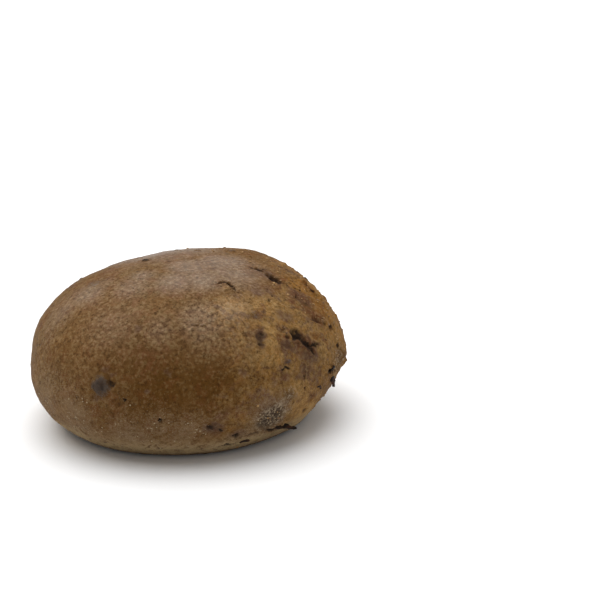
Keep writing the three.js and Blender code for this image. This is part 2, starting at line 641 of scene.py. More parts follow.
# Blisters and onion on the loaf's busier end.
NEAR_END = [
    Mark(-84.5, 55.3, 7, 2.2, 10, 0.6, -1.2, CRACK, char=0.6, rust=0.6),
    Mark(-80.1, 52.5, 10, 2.6, -77, 1.8, -1.8, CRACK, char=0.9, rust=0.7),
    Mark(-79.4, 48.7, 5, 2.2, 69, 0, -1.2, CRACK, char=0.8, rust=0.5),
    Mark(-83.6, 52.1, 8, 8, -17, 0, 0.9, FLAT, gold=0.4),
    Mark(-34.6, 52.2, 12, 4.2, 86, 0.6, -1.5, CRACK, char=0.8, rust=1.0),
    Mark(-31.5, 50, 5, 2.8, 80, 0, -0.8, BOWL, char=0.66, ash=0.4),
    Mark(-29.4, 48.7, 6, 4, -45, plum=0.7, ash=0.5),
    Mark(-38, 48.5, 15, 9, -45, plum=0.6, ash=0.35),
    Mark(-41.6, 43.8, 12, 8, 72, 0, -3.4, BOWL, char=1.0, rust=0.8),
    Mark(-41, 46.5, 24, 13, 75, plum=0.75, rust=0.3),
    Mark(-35.9, 40.5, 9, 5, -21, rust=1.0, plum=0.3),
    Mark(-47, 41, 6, 3, 60, 0, 0.5, FLAT, gold=0.9),
    Mark(-28, 28.3, 12, 3.2, 72, 1.0, -1.9, CRACK, char=0.85, rust=1.0),
    Mark(-27, 30, 17, 8, 72, rust=0.9),
    Mark(-23.3, 32.6, 8, 7, 0, 0, 1.6, KNOB, gold=1.0),
    Mark(-44, 31, 22, 15, -60, 0, 0.3, plum=1.0, rust=0.5, char=0.25),
    Mark(-47, 23, 20, 12, -60, plum=0.8, rust=1.0, char=0.2),
    Mark(-65.2, 28.7, 13, 10, -30, 0, 0.3, plum=0.85),
    Mark(-46.6, 32.8, 5.5, 1.5, 30, 0, -0.7, CRACK, char=0.7),
    Mark(-52.7, 32.4, 7, 6, 0, 0, 0.4, rust=0.9, plum=0.7),
    Mark(-47.8, 21.3, 8, 4.4, -40, 0, -0.9, BOWL, char=0.6, plum=1.0),
    Mark(-44.3, 18.2, 5, 2.8, -19, 0, -0.8, BOWL, char=0.58, rust=0.6),
    Mark(-40.4, 15.7, 7, 4, -19, 0, -1.2, BOWL, char=0.8, rust=1.0),
    Mark(-40, 19, 14, 10, -50, rust=0.6),
    Mark(-63.2, 42, 21, 15, -25, plum=0.7, ash=0.15),
    Mark(-65.7, 37.3, 2.8, 2.2, 0, 0, -0.8, BOWL, char=0.7),
    Mark(-61.5, 38.2, 2.2, 2.0, 0, 0, -0.6, BOWL, char=0.62),
    Mark(-80.5, 32.8, 8, 8, 0, 0, 0.3, ash=0.45, plum=0.3),
    Mark(-83.2, 22.8, 14, 8, 66, 0, -0.6, BOWL, char=0.62, plum=1.0),
    Mark(-81.7, 25, 3.2, 3.2, 66, 0, -0.9, BOWL, char=0.7, plum=1.0, rust=0.5),
    Mark(-84.7, 20.9, 3.6, 2.8, 0, 0, -0.8, BOWL, char=0.6, rust=0.4),
    Mark(-70.8, 23.7, 4, 3.2, -15, 0, -0.6, BOWL, char=0.45, rust=1.0),
    Mark(-70.4, 20.8, 4.4, 3, -30, 0, -1.0, BOWL, char=0.66, rust=1.0),
    Mark(-74.2, 21.6, 3, 4, -14, 0, -0.4, BOWL, char=0.35, rust=1.0),
    Mark(-72.2, 22, 11, 9, 0, rust=0.7),
    Mark(-72.2, 18.2, 11, 8, -14, plum=1.0, char=0.45),
    Mark(-65.2, 20, 10.5, 7.5, -50, 0, -3.0, BOWL, char=1.0, ash=0.3),
    Mark(-62.3, 15.6, 13, 4.4, -50, 0, -2.2, CRACK, char=1.0),
    Mark(-60.6, 12.2, 6, 2.4, -60, 0, -1.4, CRACK, char=1.0),
    Mark(-57.7, 14.3, 11, 3.8, -5, -0.8, -1.5, BOWL, char=0.9),
    Mark(-62.5, 16, 22, 13, -30, 0, 0.4, plum=1.0, rust=0.8, char=0.4),
    Mark(-62.5, 11.5, 22, 11, -25, 0, 0.4, plum=1.0, char=0.42),
    Mark(-65.5, 7.5, 16, 8, -40, plum=0.6),
    Mark(-54.4, 17.2, 12, 6, -17, rust=1.0),
    Mark(-39.7, 8.1, 5.5, 4, -81, 0, -1.0, BOWL, char=0.85, rust=0.9),
    Mark(-41, 5, 12, 6, -19, 0, 0.9, KNOB, rust=0.8, plum=0.5),
    Mark(-36, 2.5, 12, 8, -19, 0, 1.6, KNOB, rust=0.7, plum=0.6),
    Mark(-31, -1.5, 8, 6, 20, 0, 1.2, KNOB, rust=0.5, plum=0.5),
    Mark(-48.6, 1.3, 14, 3.6, -14, 0, -2.0, CRACK, char=0.9, rust=0.6),
    Mark(-48.8, -2.5, 14, 8, -21, rust=0.6),
    Mark(-75.3, 10.5, 6.5, 2.2, -29, -0.5, -1.0, CRACK, char=0.9),
    Mark(-77.4, 10.1, 4, 1.8, 15, 0, -0.7, CRACK, char=0.8),
    Mark(-75, 12.4, 8, 3.4, -8, 0, 0.6, KNOB, plum=0.7, ash=0.5),
    Mark(-77.6, 6.8, 10, 6.5, -13, plum=0.8, rust=0.6),
    Mark(-71, 5.6, 8.5, 5.5, -15, plum=0.75, ash=0.2),
    Mark(-66.9, 4.5, 4, 2.4, -62, 0, -0.8, BOWL, char=0.66, rust=0.5),
    Mark(-67.3, 0.4, 2.4, 2.2, 0, 0, -0.8, BOWL, char=0.78),
    Mark(-60, 0.9, 7, 8, -17, plum=0.55, ash=0.3),
    Mark(-61, -4.4, 6, 4.5, -20, rust=1.0),
    Mark(-62, -6.8, 8, 3.6, -21, 0, -0.6, BOWL, char=0.4, rust=1.0),
    Mark(-62, -11.6, 7, 4, -24, 0, -0.8, BOWL, char=0.7, rust=0.9),
    Mark(-74.1, -1.2, 9, 10, -16, plum=0.8),
]

# Along the lower edge of that end, where the sole begins.
LOWER_EDGE = [
    Mark(-83, -4, 28, 22, -16, plum=0.85),
    Mark(-80, -17.5, 30, 7, -14, rust=0.6),
    Mark(-98, -16.5, 18, 7, -8, rust=0.5),
    Mark(-81, -9.5, 22, 13, -20, 0, -0.4, char=0.35, plum=1.0),
    Mark(-86, -10.5, 10, 6, -12, 0, -0.5, BOWL, char=0.55, ash=0.5),
    Mark(-79, -6.5, 9, 5, -20, 0, -0.4, BOWL, char=0.5, ash=0.4),
    Mark(-76.5, -11.5, 8, 4, -20, 0, 0.5, KNOB, char=0.4, rust=0.6),
    Mark(-88, -15.3, 9, 3.4, -4, 0, -1.1, BOWL, char=0.7, rust=0.8),
    Mark(-82, -15.8, 10, 5, -12, 0, -1.3, BOWL, char=0.5, rust=1.0),
    Mark(-79, -16.4, 8, 3.6, -25, 0.6, -1.1, CRACK, char=0.95),
    Mark(-74.5, -16.6, 13, 5, -16, 0, -1.0, BOWL, char=0.9, rust=0.7),
    Mark(-90, -15.8, 10, 3.6, -2, 0, -1.0, BOWL, char=0.6, rust=0.9),
    Mark(-106, -8, 14, 12, -8, 0, -0.4, plum=1.0, char=0.45),
    Mark(-107.5, -7.6, 4.4, 4.6, 0, 0, -1.4, BOWL, char=1.0),
    Mark(-103.5, -9.8, 3.4, 3, 0, 0, -1.0, BOWL, char=0.95),
    Mark(-103, -2, 13, 9, 20, plum=0.6, rust=0.4),
    Mark(-95.8, -13.5, 12, 10, -14, plum=0.95, char=0.2),
    Mark(-96.3, -14.3, 6, 5.5, 0, 0, -2.4, BOWL, char=1.0),
    Mark(-98.9, -20, 11, 3.4, -14, 0, -1.3, BOWL, char=0.9),
    Mark(-158.4, -14.3, 12, 2, -56, 1.0, -0.7, CRACK, rust=0.8, char=0.2),
    Mark(-150.9, -17.8, 6.5, 2.6, 20, 0, 0.5, KNOB, char=0.6, rust=0.5),
    Mark(-125.5, -3.1, 2.6, 2.6, 0, 0, -1.6, BOWL, char=1.0),
]

# The smoother end and the crown.
FAR_END = [
    Mark(-110.9, 32.6, 4.4, 2, -3, 0, 0.5, KNOB, char=0.5),
    Mark(-107.7, 32, 4.4, 2, -5, 0, 0.5, KNOB, char=0.5),
    Mark(-122.9, 44.2, 6, 2.2, -18, 0, 0.5, KNOB, rust=0.4),
    Mark(136.6, 67.5, 6, 4.4, 84, 0, 1.1, KNOB, char=1.0),
    Mark(47.2, 65, 5, 3.4, 0, 0, 0.6, KNOB, char=0.6, rust=0.9),
    Mark(169.5, 43.3, 13, 12, 35, ash=0.5, plum=0.4),
    Mark(-137.6, 30, 4.8, 6.4, 6, 0, -0.3, plum=0.9, char=0.3),
    Mark(-134, 43, 22, 14, 5, rust=0.45),
    Mark(-118, 38, 16, 9, -10, rust=0.35),
    Mark(-147, 7.9, 12, 11.5, 7, 0, 1.6, KNOB, ash=1.0, char=0.5),
    Mark(-145.7, 8.2, 5.5, 8, 7, 0, -0.5, BOWL, char=0.62),
    Mark(-149.3, 7, 2.2, 6, 7, 0, -0.4, BOWL, char=0.6),
    Mark(-143.2, 9.4, 7, 5, 7, 0, -1.6, BOWL, char=0.7, rust=0.6),
    Mark(-143, 12.4, 6, 2.6, 12, 0, 0.3, plum=0.9, char=0.3),
    Mark(-146.3, 13.6, 6.5, 3.4, 6, 0, 0.2, plum=0.8, char=0.25),
    Mark(-148.3, 3.6, 9.5, 6, 9, plum=0.65, ash=0.3),
    Mark(-137.6, 4, 2.2, 2.2, 0, 0, -1.0, BOWL, char=0.95),
    Mark(-128.5, 15, 3.4, 2.8, 0, 0, -0.3, char=0.45),
    Mark(-122.4, 15.1, 6, 5.4, 0, 0, 0.3, plum=0.7),
    Mark(-129.9, 7.6, 3.4, 3.2, 0, 0, 0.4, KNOB, plum=0.8),
]


@dataclass(frozen=True)
class Tone(Stains):
    """A broad patch of colour, fading out over a spread in degrees from its middle."""

    azimuth: float
    lift: float
    spread: float


TONES = [
    # Deep umber across the loaf's front is partly a darker bake and partly painted shade, where the front
    # faces away from the light above.
    Tone(-128, 8, 26, deep_bake_and_shade=1.0),
    Tone(-106, 10, 20, deep_bake_and_shade=1.0),
    Tone(-130, 20, 9, deep_bake_and_shade=1.0, rust=0.5, plum=0.3),
    Tone(-144, 15, 9, deep_bake_and_shade=0.8),
    Tone(-165, 11, 10, deep_bake_and_shade=0.6),
    Tone(-145, -2, 22, deep_bake_and_shade=0.6),
    Tone(-78, 22, 17, gold=0.8, sheen=0.3),
    Tone(-68, 34, 15, gold=0.75, sheen=0.3),
    Tone(-91, 37, 11, gold=0.85, wrinkle=0.4, sheen=0.6),
    Tone(-84, 1, 9, gold=0.7),
    Tone(-93, 6, 9, gold=0.45),
    Tone(-101, 3, 8, gold=0.4, plum=0.2),
    Tone(-93, 13, 9, gold=0.5),
    Tone(-97, -6, 9, gold=0.45),
    Tone(-56, 17, 22, gold=0.66),
    Tone(-70, -2, 18, gold=0.65),
    Tone(-60, -14, 10, gold=1.0),
    Tone(-34, 28, 15, gold=0.45, rust=0.4, torn=1.0),
    Tone(-20, 27, 10, gold=0.7, torn=0.6),
    Tone(-22, 15, 9, gold=0.8, torn=0.9),
    Tone(-47, 36, 7, gold=0.65),
    Tone(-35, 5, 20, gold=0.7, rust=0.1, torn=0.7),
    Tone(-5, 15, 30, gold=0.7, torn=0.8),
    Tone(25, 10, 26, gold=0.5, torn=0.5),
    Tone(-98, 62, 15, plum=0.25, wrinkle=0.5, sheen=0.85),
    Tone(-100, 80, 14, wrinkle=0.4, sheen=1.0),
    Tone(-33, 70, 16, wrinkle=0.5, sheen=1.0),
    Tone(-160, 52, 14, wrinkle=0.4, sheen=0.6),
    Tone(-166, 61, 11, wrinkle=0.3, sheen=0.65),
    Tone(176, 46, 10, sheen=0.5),
    Tone(-124, 62, 14, wrinkle=0.4, sheen=0.85),
    Tone(-60, 58, 17, wrinkle=0.3, sheen=0.85),
    Tone(-107, 33, 14, wrinkle=1.0, sheen=0.6),
    Tone(-128, 30, 10, wrinkle=0.9, sheen=0.45),
    Tone(-93, 24, 9, wrinkle=0.65, gold=0.6),
    Tone(-125, 38, 18, wrinkle=0.3, sheen=0.2),
    Tone(-150, 28, 22, wrinkle=0.45, sheen=0.4),
    Tone(-150, 33, 14, rust=0.4),
    Tone(176, 28, 12, sheen=0.6, wrinkle=0.4),
    Tone(-172, 10, 20, wrinkle=0.35, sheen=0.2),
    Tone(179, 38, 12, wrinkle=0.5, sheen=0.7),
    Tone(140, 60, 30, sheen=0.4),
    Tone(90, 60, 34, sheen=0.8),
    Tone(120, 10, 40, sheen=0.3),
    Tone(-82, -8, 8, torn=0.6, scab=1.0),
    Tone(-76, 0, 5, scab=0.6),
    Tone(-40, 2, 9, scab=0.6),
    Tone(-124, 42, 15, rust=0.45),
    Tone(-105, 28, 12, rust=0.25),
    Tone(-138, -12, 14, flour=0.75, plum=0.3),
    Tone(-126, -5, 11, flour=0.65),
    Tone(-139, 3, 11, flour=0.4),
    Tone(-158, -4, 13, flour=0.75),
    Tone(-174, -4, 16, flour=0.7),
    Tone(178, 20, 11, flour=0.5),
    Tone(-116, -9, 13, flour=0.7, plum=0.2),
    Tone(-82, -8, 12, flour=0.9),
    Tone(-160, -14, 16, flour=0.9),
    Tone(120, 25, 34, deep_bake_and_shade=0.7),
    Tone(70, 5, 24, deep_bake_and_shade=0.5, gold=0.3),
    Tone(150, -8, 30, flour=0.6),
    Tone(90, -10, 30, flour=0.5),
]


@dataclass
class Scatter:
    """Marks like the placed ones, for the sides where none is placed."""

    count: int = 95
    seed: int = 41
    azimuths: tuple[float, float] = (-12, 150)
    lift_sines: tuple[float, float] = (-0.3, 0.85)
    sizes_mm: tuple[float, float] = (2.0, 9.0)

    def marks(self) -> list[Mark]:
        """Draws the marks, most of them on the far side and the soft end.

        Returns:
            The marks.
        """
        pick = np.random.default_rng(self.seed)
        made = []
        for _ in range(self.count):
            azimuth = pick.uniform(*self.azimuths)
            lift = math.degrees(math.asin(pick.uniform(*self.lift_sines)))
            size = pick.uniform(*self.sizes_mm)
            slim = pick.uniform(0.35, 1.0)
            place = {"azimuth": azimuth, "lift": lift, "turn": pick.uniform(-90, 90)}
            kind = pick.choice(["stain", "stain", "pit", "pit", "split", "bit"])
            made.append(Mark(**place, **self._kinds(size, slim, pick.uniform(0.4, 1.0))[kind]))
        return made

    @staticmethod
    def _kinds(size: float, slim: float, tint: float) -> dict[str, dict[str, object]]:
        """What each kind of mark is like.

        Args:
            size: the mark's size in millimetres.
            slim: its width as a share of its length.
            tint: how dark it is.

        Returns:
            The rest of the mark's fields, by its kind.
        """
        pit = 0.3 * size + 1.6
        return {
            "stain": dict(length=1.6 * size, width=1.6 * size * slim, plum=tint, rust=1 - tint),
            "pit": dict(
                length=pit / slim**0.5, width=pit, rise=-0.28 * pit, section=BOWL, char=tint, rust=0.5
            ),
            "split": dict(
                length=1.3 * size, width=2.2, bend=1.0, rise=-1.1, section=CRACK, char=0.6 * tint, rust=0.7
            ),
            "bit": dict(
                length=size, width=size * slim, rise=0.7, section=KNOB, char=0.6 * tint, ash=0.5, plum=0.5
            ),
        }


# The crust.


@dataclass(frozen=True)
class Wave:
    """Noise that moves the crust in and out."""

    size_mm: float  # how far apart its lumps are
    height_mm: float  # how far they rise
    octaves: int
    seed: float
    ridge: float | None = None  # the level that sharp ridges fall to, or none for round lumps

    def rise(self, points: np.ndarray) -> np.ndarray:
        """How far the wave moves each point, in millimetres."""
        level = fractal(points, self.size_mm, self.octaves, self.seed)
        return self.height_mm * (level if self.ridge is None else np.abs(level) - self.ridge)


@dataclass
class Crust:
    """The loaf's skin: one closed mesh cast from the core onto the CAD solid.

    Lengths ending in _mm are millimetres.
    """

    grid: int = 100  # faces along each edge of the cube that the mesh starts as
    core_share: float = 0.3725  # the core's height, as a share of the loaf's
    stretch: tuple[float, float, float] = (1.25, 1.15, 1.0)  # evens out the faces' sizes
    relaxing: int = 45  # rounds that melt the solid's facets away
    shrink: float = 0.5  # how far a round moves each point towards its neighbours' middle
    regrow: float = -0.525  # and how far it then moves it back, which keeps the loaf's size
    inset_mm: float = 0.3  # drawn in first, so that the roughening stays near the solid
    waves: tuple[Wave, ...] = (Wave(34.0, 0.9, 2, 0), Wave(11.0, 0.3, 2, 1), Wave(3.4, 0.14, 3, 2))
    wrinkle: Wave = Wave(5.2, -0.75, 3, 5.0, 0.25)
    tear: Wave = Wave(6.5, 2.0, 3, 9.0, 0.35)
    scabby: Wave = Wave(2.8, 1.0, 3, 13.0, 0.35)
    wander: Wave = Wave(30.0, 1.0, 2, 3.0)  # makes the edges of the broad colours wander
    clusters: Wave = Wave(8.0, 1.0, 2, 7.0)  # gathers the flour's specks
    foot_mm: float = 7.0  # up to here the roughening fades in from the sole
    foot_share: float = 0.25  # what is left of it at the sole
    sole_mm: tuple[float, float] = (5.0, 0.5)  # where the sole's colour begins and is full
    # Below this height the hem is also painted paler, as light bounced up from the table.
    hem_mm: float = 21.0  # up to here the crust picked up flour from the oven floor
    shake: float = 0.36  # how far a mark's outline wanders, as a share of its width
    shake_most_mm: float = 2.6  # and at most
    shake_size_mm: tuple[float, float] = (1.6, 4.5)  # the least and most distance between its bends
    knob_shake: float = 0.5  # how much less a knob's outline wanders
    bleed: float = 1.7  # a mark's colour ends this far out, in half widths
    full: float = 0.2  # and is full up to here
    narrow_mm: float = 4.2  # marks narrower than this get the finest mesh
    span: float = 0.55  # how far from a mark's middle the mesh is finer, in its lengths
    margins_mm: tuple[float, float] = (1.0, 0.5)  # and beyond that, in the first round and the second
    marks: list[Mark] = field(default_factory=lambda: NEAR_END + LOWER_EDGE + FAR_END + Scatter().marks())
    finish: CrustFinish = CrustFinish()

    def build(self) -> Object:
        """Makes the whole crust and returns its object.

        Returns:
            The crust's object.
        """
        bm = self._cast()
        self._relax(bm)
        self._refine(bm)
        mesh = new_mesh("crust", bm)
        points = places(mesh.vertices)
        normals = np.array([n.vector[:] for n in mesh.vertex_normals])
        stains = self._tones(points)
        rise = self._roughness(points, stains) - self.inset_mm + self._press_marks(points, normals, stains)
        rise *= self.foot_share + (1.0 - self.foot_share) * smooth(0.0, self.foot_mm, points[:, 2] / MM)
        points = points + normals * (rise * MM)[:, None]
        points[:, 2] = np.maximum(points[:, 2], 0.0)
        mesh.vertices.foreach_set("co", points.astype(np.float32).ravel())
        stains["sole"] = smooth(*self.sole_mm, points[:, 2] / MM) * smooth(-0.3, -0.8, normals[:, 2])
        for name, values in stains.items():
            layer = mesh.attributes.new(name, "FLOAT", "POINT")
            layer.data.foreach_set("value", np.clip(values, 0.0, 1.0).astype(np.float32))
        shade_smooth(mesh)
        mesh.materials.append(self.finish.material())
        return new_object("crust", mesh)

    @property
    def core(self) -> np.ndarray:
        """The point inside the loaf that places are seen from."""
        low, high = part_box(NODE)
        return np.array([0.0, 0.0, low.z + self.core_share * (high.z - low.z)])

    def _cast(self) -> bmesh.types.BMesh:
        """A cube's fine grid, cast outwards from the core onto the CAD solid.

        Returns:
            The cast grid.
        """
        solid = bmesh.new()
        solid.from_mesh(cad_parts[NODE].data)
        bmesh.ops.remove_doubles(solid, verts=solid.verts, dist=0.01 * MM)
        tree = BVHTree.FromBMesh(solid)
        solid.free()
        bm = bmesh.new()
        bmesh.ops.create_cube(bm, size=2.0)
        bmesh.ops.subdivide_edges(bm, edges=bm.edges[:], cuts=self.grid - 1, use_grid_fill=True)
        core = Vector(self.core)
        for vert in bm.verts:
            warped = [math.tan(c * math.pi / 4) * s for c, s in zip(vert.co, self.stretch)]
            vert.co = tree.ray_cast(core, Vector(warped).normalized())[0]
        bmesh.ops.recalc_face_normals(bm, faces=bm.faces[:])
        return bm

    def _relax(self, bm: bmesh.types.BMesh) -> None:
        """Melts the facets of a bmesh into round dough.

        Args:
            bm: the bmesh, whose vertices move.
        """
        points = places(bm.verts)
        bm.verts.index_update()
        ends = np.array([[v.index for v in e.verts] for e in bm.edges])
        here, there = np.concatenate((ends, ends[:, ::-1])).T
        degree = np.bincount(here)[:, None]
        for share in (self.shrink, self.regrow) * self.relaxing:
            total = np.stack([np.bincount(here, points[there, k]) for k in range(3)], axis=1)
            points = points + share * (total / degree - points)
        for vert, point in zip(bm.verts, points):
            vert.co = point

    def _refine(self, bm: bmesh.types.BMesh) -> None:
        """Splits the faces of a bmesh around the sharp marks, twice around the narrow ones.

        Args:
            bm: the bmesh, which gets finer.
        """
        for narrowest, margin_mm in zip((math.inf, self.narrow_mm), self.margins_mm):
            points = places(bm.verts)
            rays = unit(points - self.core)
            wanted = np.zeros(len(points), bool)
            for mark in self.marks:
                if mark.is_sharp() and mark.width < narrowest:
                    middle = points[np.argmax(rays @ direction(mark.azimuth, mark.lift))]
                    reach = (self.span * mark.length + margin_mm) * MM
                    wanted |= np.linalg.norm(points - middle, axis=1) < reach
            bm.verts.index_update()
            edges = [e for e in bm.edges if wanted[e.verts[0].index] and wanted[e.verts[1].index]]
            bmesh.ops.subdivide_edges(bm, edges=edges, cuts=1, use_grid_fill=True)
        bmesh.ops.triangulate(bm, faces=[f for f in bm.faces if len(f.verts) > 4])

    def _tones(self, points: np.ndarray) -> dict[str, np.ndarray]:
        """The broad colours.

        Args:
            points: the crust's points, in metres.

        Returns:
            A strength for each point, by the stain's name.
        """
        stains = {name: np.zeros(len(points)) for name in STAINS}
        rays = unit(points - self.core)
        height = points[:, 2] / MM
        wander = self.wander.rise(points)
        for tone in TONES:
            angle = np.degrees(np.arccos(np.clip(rays @ direction(tone.azimuth, tone.lift), -1, 1)))
            weight = bell(angle * (1.0 + 0.25 * wander), 0.0, tone.spread)
            for name, strength in tone.strengths().items():
                stains[name] = np.maximum(stains[name], strength * weight)
        stains["torn"] *= smooth(0.3, 3.0, height)
        stains["hem"] = smooth(self.hem_mm, 0.3 * self.hem_mm, height + 4.0 * wander)
        stains["flour"] = np.maximum(stains["flour"], 0.8 * stains["hem"])
        clusters = smooth(-0.3, 0.45, self.clusters.rise(points))
        low_down = smooth(0.2, -0.1, rays[:, 2]) * smooth(0.8, 2.5, height)
        stains["dust"] = clusters * low_down * smooth(0.3, 0.9, stains["flour"] + 0.2 * wander)
        return stains

    def _roughness(self, points: np.ndarray, stains: dict[str, np.ndarray]) -> np.ndarray:
        """The dough's waves and what the wrinkled, torn and scabby patches add.

        Args:
            points: the crust's points, in metres.
            stains: the strength of each stain at each point.

        Returns:
            The rise of each point, in millimetres.
        """
        rise = sum(wave.rise(points) for wave in self.waves)
        for name, wave in (("wrinkle", self.wrinkle), ("torn", self.tear), ("scab", self.scabby)):
            rise += stains[name] * wave.rise(points)
        return rise

    def _press_marks(
        self, points: np.ndarray, normals: np.ndarray, stains: dict[str, np.ndarray]
    ) -> np.ndarray:
        """Adds every mark's colours to the stains.

        Args:
            points: the crust's points, in metres.
            normals: their outward normals.
            stains: the strength of each stain at each point, which is changed.

        Returns:
            The rise of each point, in millimetres.
        """
        rise = np.zeros(len(points))
        rays = unit(points - self.core)
        for mark in self.marks:
            middle = np.argmax(rays @ direction(mark.azimuth, mark.lift))
            reach = (0.9 * max(mark.length, mark.width) + 2.0) * MM
            offset = points - points[middle]
            near = np.linalg.norm(offset, axis=1) < reach
            near &= normals @ normals[middle] > 0.2
            along, across = tangents(normals[middle], mark.turn)
            narrow = min(mark.length, mark.width) * (self.knob_shake if mark.section is KNOB else 1.0)
            ragged = self._ragged(offset[near] / MM, points[near], narrow)
            u = ragged @ along / (0.5 * mark.length)
            v = (ragged @ across - mark.bend * (0.5 - u * u)) / (0.5 * mark.width)
            away = np.sqrt(u * u + v * v)
            rise[near] += mark.rise * mark.section.profile(away)
            cover = smooth(self.bleed, self.full, away)
            for name, strength in mark.strengths().items():
                stains[name][near] = np.maximum(stains[name][near], strength * cover)
        return rise

    def _ragged(self, offset: np.ndarray, points: np.ndarray, width: float) -> np.ndarray:
        """Shakes a mark's outline, so that it isn't a plain oval.

        Args:
            offset: offsets from the mark's middle, in millimetres.
            points: the same points' places, in metres.
            width: the mark's narrow side, in millimetres.

        Returns:
            The shaken offsets.
        """
        amount = min(self.shake_most_mm, self.shake * width)
        size = np.clip(0.7 * width, *self.shake_size_mm)
        shaken = [noise.turbulence_vector(Vector(p), 2, False) for p in points / (size * MM)]
        return offset + amount * np.array(shaken)


# Bits in and on the crust.


class Tree(Nodes):
    """A geometry node tree built by calls, whose inputs have names."""

    def __init__(self, name: str) -> None:
        """Starts a tree that takes a mesh and gives one back.

        Args:
            name: the tree's name.
        """
        super().__init__(bpy.data.node_groups.new(name, "GeometryNodeTree"))
        for way in ("INPUT", "OUTPUT"):
            self.tree.interface.new_socket("Mesh", in_out=way, socket_type="NodeSocketGeometry")
        self.start = self.node("NodeGroupInput")
        self.end = self.node("NodeGroupOutput")

    def ask(self, name: str, kind: str = "NodeSocketFloat") -> NodeSocket:
        """Adds a named input to the tree and returns where it can be read."""
        self.tree.interface.new_socket(name, in_out="INPUT", socket_type=kind)
        return self.start.outputs[name]

    def random(self, low: object, high: object, seed: object) -> Shade:
        """A random number between two, another for each bit.

        Args:
            low: the least number.
            high: the greatest number.
            seed: picks the draw.

        Returns:
            The number.
        """
        inputs = {"Min_001": low, "Max_001": high, "Seed": seed}
        made = self.node("FunctionNodeRandomValue", inputs, data_type="FLOAT")
        return Shade(self, output(made, "Value_001"))

    def give(self, geometry: NodeSocket, material: Material) -> None:
        """Makes the instances real, gives them their material and ends the tree.

        Args:
            geometry: what the tree gives back.
            material: what it is made of.
        """
        real = self.node("GeometryNodeRealizeInstances", {"Geometry": geometry})
        dressed = self.node("GeometryNodeSetMaterial", {"Geometry": real.outputs[0], "Material": material})
        self.feed(self.end, 0, dressed.outputs[0])

    def grow(self, name: str, ground: Mesh, values: dict[str, object]) -> Object:
        """Runs the tree on a mesh.

        Args:
            name: the new piece's name.
            ground: the mesh that the tree reads.
            values: a value for each of the tree's named inputs.

        Returns:
            A plain mesh object with what the tree made.
        """
        host = new_object(name + "_ground", ground.copy())
        modifier = host.modifiers.new("grow", "NODES")
        modifier.node_group = self.tree
        for item in self.tree.interface.items_tree:
            if item.in_out == "INPUT" and item.name in values:
                modifier[item.identifier] = values[item.name]
        graph = bpy.context.evaluated_depsgraph_get()
        mesh = bpy.data.meshes.new_from_object(host.evaluated_get(graph))
        host.modifiers.remove(modifier)
        bpy.data.objects.remove(host)
        mesh.name = name
        for layer in [a for a in mesh.attributes if not a.is_internal and not a.is_required]:
            if layer.domain == "POINT" and layer.data_type == "FLOAT":
                mesh.attributes.remove(layer)
        shade_smooth(mesh)
        return new_object(name, mesh)


@dataclass
class Bits:
    """Small bits strewn over the crust where one of its stains is strong."""

    name: str
    stain: str
    density: float  # for each square metre, where the stain is full
    smallest_mm: float
    largest_mm: float
    flatness: float
    seed: int

    def build(self, ground: Mesh, material: Material) -> Object:
        """Strews the bits.

        Args:
            ground: the crust's mesh.
            material: what the bits are made of.

        Returns:
            One object with all the bits.
        """
        tree = Tree(self.name)
        density, small, large = tree.ask("Density"), tree.ask("Smallest"), tree.ask("Largest")
        seed = tree.ask("Seed", "NodeSocketInt")
        stain = tree.node("GeometryNodeInputNamedAttribute", {"Name": self.stain}, data_type="FLOAT")
        dense = Shade(tree, output(stain, "Attribute")) * density
        points = tree.node(
            "GeometryNodeDistributePointsOnFaces",
            {"Mesh": tree.start.outputs["Mesh"], "Density": dense, "Seed": seed},
            distribute_method="RANDOM",
        )
        size = tree.random(small, large, seed)
        about = tree.node("ShaderNodeCombineXYZ", {"Z": tree.random(0.0, 2 * math.pi, self.seed + 1)})
        turned = tree.node(
            "FunctionNodeRotateRotation",
            {"Rotation": points.outputs["Rotation"], "Rotate By": about.outputs[0]},
            rotation_space="LOCAL",
        )
        scale = tree.node("ShaderNodeCombineXYZ", {"X": size, "Y": size, "Z": size * self.flatness})
        strewn = {
            "Points": points.outputs["Points"],
            "Instance": self.shape(tree),
            "Rotation": turned.outputs[0],
            "Scale": scale.outputs[0],
        }
        bits = tree.node("GeometryNodeInstanceOnPoints", strewn)
        real = tree.node("GeometryNodeRealizeInstances", {"Geometry": bits.outputs[0]})
        crumple = tree.wobble(*self.crumple_mm(), Detail=2.0)
        crooked = tree.node("GeometryNodeSetPosition", {"Geometry": real.outputs[0], "Offset": crumple})
        tree.give(crooked.outputs[0], material)
        sizes = {"Smallest": self.smallest_mm * MM, "Largest": self.largest_mm * MM}
        return tree.grow(self.name, ground, {"Density": self.density, "Seed": self.seed, **sizes})


@dataclass
class Grains(Bits):
    """Rounded bits, such as flour, bran and crumbs."""

    faces: int = 1  # subdivisions of the ball that each bit starts as

    def shape(self, tree: Tree) -> NodeSocket:
        """Adds the ball that each grain starts as."""
        ball = {"Radius": 1.0, "Subdivisions": self.faces}
        return tree.node("GeometryNodeMeshIcoSphere", ball).outputs["Mesh"]

    def crumple_mm(self) -> tuple[float, float]:
        """How far and how closely the grains are crumpled."""
        return 0.45 * self.largest_mm, 0.5 * self.largest_mm


